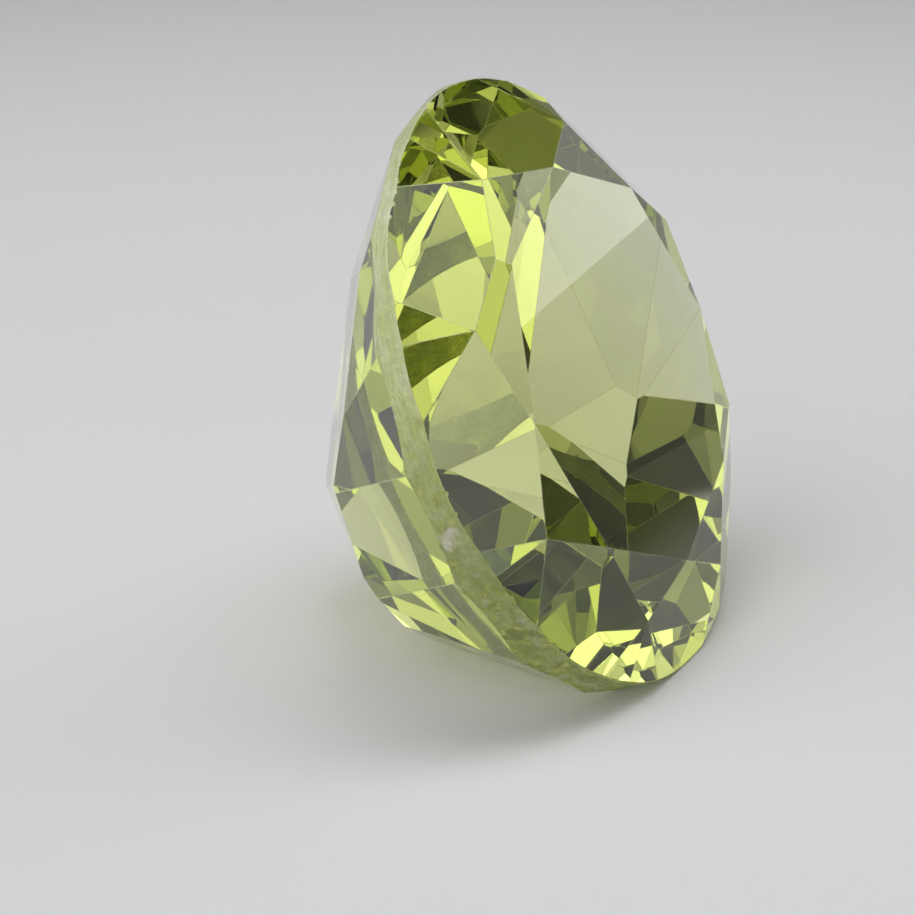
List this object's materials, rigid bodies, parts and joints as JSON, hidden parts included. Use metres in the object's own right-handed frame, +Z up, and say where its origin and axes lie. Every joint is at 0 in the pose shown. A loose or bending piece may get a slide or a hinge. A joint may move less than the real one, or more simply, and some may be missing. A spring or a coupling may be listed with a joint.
{
  "type": "faceted peridot gemstone",
  "caption": "Loose round brilliant-cut peridot, see-through yellow-green, with a frosted girdle, standing on a steep pavilion facet.",
  "frame": {"origin": "on the surface the stone rests on, under the middle of its bounding box", "axes": "+Z up from the rest facet; +Y away from the viewer, along the longest extent; +X to the viewer's right, the side the table leans towards"},
  "size_m": [0.0054, 0.0076, 0.0072],
  "materials": {
    "peridot": "polished facets, frosted girdle"
  },
  "bodies": {
    "root": {"peridot": "peridot"}
  },
  "joints": []
}
